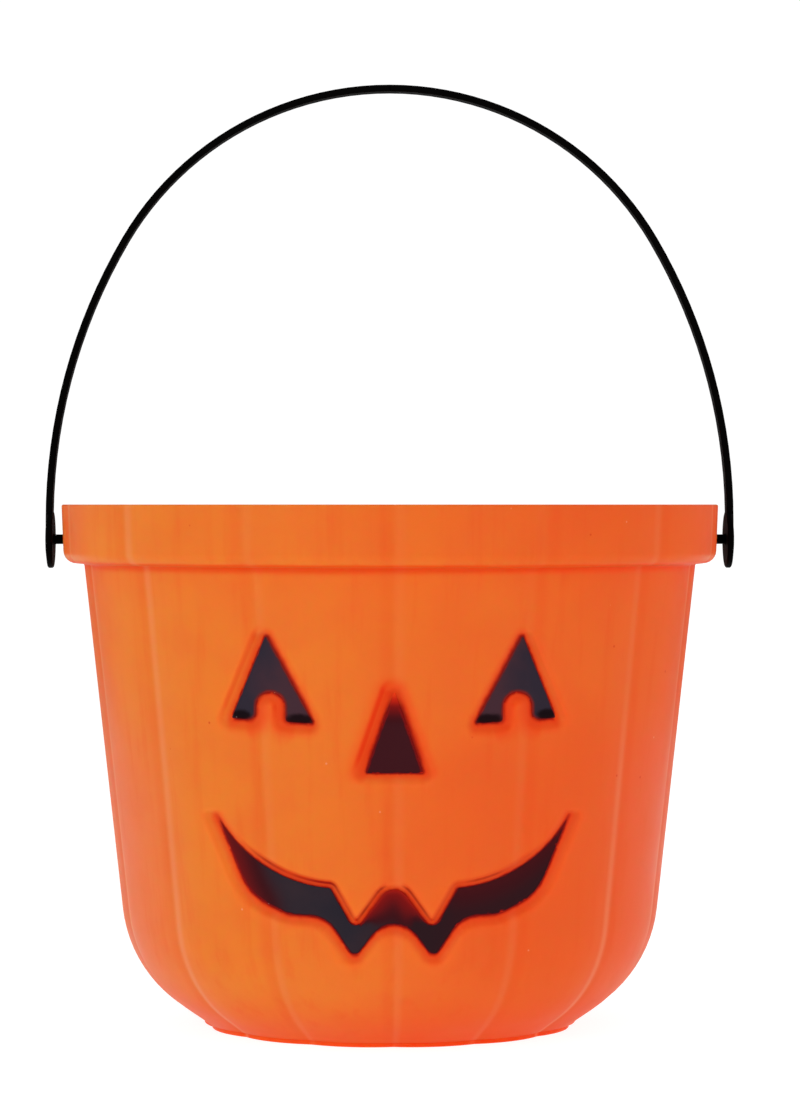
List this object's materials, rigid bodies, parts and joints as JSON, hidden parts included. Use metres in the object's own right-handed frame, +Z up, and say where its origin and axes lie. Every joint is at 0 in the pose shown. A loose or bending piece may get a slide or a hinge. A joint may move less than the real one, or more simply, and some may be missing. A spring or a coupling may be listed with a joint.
{
  "type": "pumpkin candy pail",
  "caption": "Lobed round pail with a stepped rim band, a debossed and painted jack-o'-lantern face, and a swinging strap handle that snaps into the band.",
  "frame": {"origin": "on the ground at the middle of the pail's foot ring", "axes": "+Z up along the pail's axis; the face looks along -Y; the handle's pivots lie along X"},
  "size_m": [0.1926, 0.182, 0.2618],
  "materials": {
    "orange_plastic": "satin gloss",
    "black_plastic": "gloss",
    "black_paint": "satin"
  },
  "bodies": {
    "pail": {"pail_shell": "orange_plastic", "left_eye_paint": "black_paint", "right_eye_paint": "black_paint", "nose_paint": "black_paint", "mouth_paint": "black_paint"},
    "handle": {"handle": "black_plastic"}
  },
  "joints": [
    {"name": "handle_swing", "type": "hinge", "parent": "pail", "child": "handle", "pos_m": [0, 0, 0.1351], "axis": [1, 0, 0], "range_deg": [-141.5, 141.5]}
  ]
}
